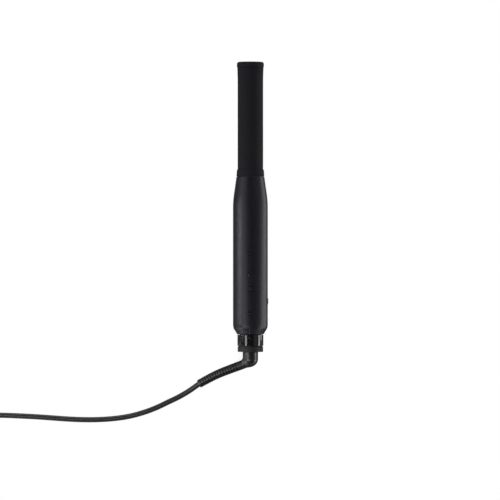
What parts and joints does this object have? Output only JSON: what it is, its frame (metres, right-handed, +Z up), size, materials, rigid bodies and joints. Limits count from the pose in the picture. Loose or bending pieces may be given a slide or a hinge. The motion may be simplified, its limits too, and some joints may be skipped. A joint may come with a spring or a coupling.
{
  "type": "curling wand",
  "caption": "Clipless hair-curling wand: straight matte heated barrel, round satin handle with flush buttons, turning lock ring and swivel cord outlet, with its mains cord coiled beside it.",
  "frame": {"origin": "on the surface that the wand lies on, under the middle of its length", "axes": "+Y along the wand towards the tip of the barrel, +Z up out of the button side, +X to the right seen from the button side"},
  "size_m": [0.4159, 0.3971, 0.0371],
  "materials": {
    "satin_shell": "satin near-black moulded plastic with a very fine grain",
    "barrel_coat": "very matte black heat-resistant coat on an aluminium tube",
    "heat_plastic": "dull black heat-resistant plastic",
    "gloss_trim": "polished black plastic",
    "matte_trim": "matte black plastic",
    "button_plastic": "satin black plastic",
    "cord_rubber": "soft satin black cord jacket",
    "lens": "translucent light window",
    "ceramic": "pressed ceramic",
    "aluminium": "extruded",
    "brass": "stamped",
    "steel": "zinc plated",
    "inner_plastic": "natural moulded plastic",
    "board": "solder-masked glass epoxy",
    "film": "amber insulating film",
    "chip": "moulded epoxy",
    "sleeve": "woven glass sleeve"
  },
  "bodies": {
    "wand": {"tip_cap": "heat_plastic", "barrel": "barrel_coat", "neck_collar": "heat_plastic", "tip_insulator": "ceramic", "heater_core_front": "aluminium", "heater_core_rear": "aluminium", "electrode_front": "brass", "electrode_rear": "brass", "insulation_film": "film", "thermistor": "ceramic", "thermal_fuse": "steel", "heat_shield_disc": "ceramic", "ptc_stone_neck": "ceramic", "ptc_stone_tip": "ceramic", "handle_front_shell": "satin_shell", "handle_rear_shell": "satin_shell", "casing_screw_1": "steel", "casing_screw_2": "steel", "board_screw_left": "steel", "board_screw_right": "steel", "indicator_lens_upper": "lens", "indicator_lens_lower": "lens", "control_board": "board", "tactile_switch_lower": "inner_plastic", "tactile_switch_raise": "inner_plastic", "tactile_switch_power": "inner_plastic", "indicator_lamp": "lens", "filter_capacitor": "film", "triac": "chip", "slide_switch_body": "inner_plastic", "lock_switch": "inner_plastic", "lead_heater_front": "sleeve", "lead_heater_rear": "sleeve", "lead_fuse": "sleeve", "lead_thermistor": "sleeve", "lead_supply_live": "sleeve", "lead_supply_neutral": "sleeve", "end_bearing": "matte_trim", "friction_ring": "cord_rubber", "brush_holder": "inner_plastic", "brush_live": "brass", "brush_neutral": "brass"},
    "lock_ring": {"lock_ring": "gloss_trim"},
    "swivel": {"swivel_hub": "matte_trim", "slip_ring_live": "brass", "slip_ring_neutral": "brass", "retaining_clip": "steel", "elbow_strain_relief": "cord_rubber", "cord_lead": "cord_rubber", "cord_coil": "cord_rubber", "cord_tail": "cord_rubber", "cord_tie": "matte_trim", "plug_body": "cord_rubber", "plug_blade_left": "brass", "plug_blade_right": "brass"},
    "lower_button": {"button_lower": "button_plastic"},
    "raise_button": {"button_raise": "button_plastic"},
    "power_button": {"button_power": "button_plastic"},
    "slide_switch": {"slide_knob": "button_plastic"}
  },
  "joints": [
    {"name": "cord_swivel", "type": "hinge", "parent": "wand", "child": "swivel", "pos_m": [0, -0.156, 0.018], "axis": [0, 1, 0], "continuous": true},
    {"name": "lock_ring_turn", "type": "hinge", "parent": "wand", "child": "lock_ring", "pos_m": [0, -0.1467, 0.018], "axis": [0, 1, 0], "range_deg": [0, 40]},
    {"name": "lower_press", "type": "slide", "parent": "wand", "child": "lower_button", "axis": [0, 0, -1], "range_m": [0, 0.0006], "stiffness_N_per_m": 600},
    {"name": "raise_press", "type": "slide", "parent": "wand", "child": "raise_button", "axis": [0, 0, -1], "range_m": [0, 0.0006], "stiffness_N_per_m": 600},
    {"name": "power_press", "type": "slide", "parent": "wand", "child": "power_button", "axis": [0, 0, -1], "range_m": [0, 0.0006], "stiffness_N_per_m": 600},
    {"name": "slide_switch_travel", "type": "slide", "parent": "wand", "child": "slide_switch", "axis": [0, -1, 0], "range_m": [0, 0.003]}
  ]
}
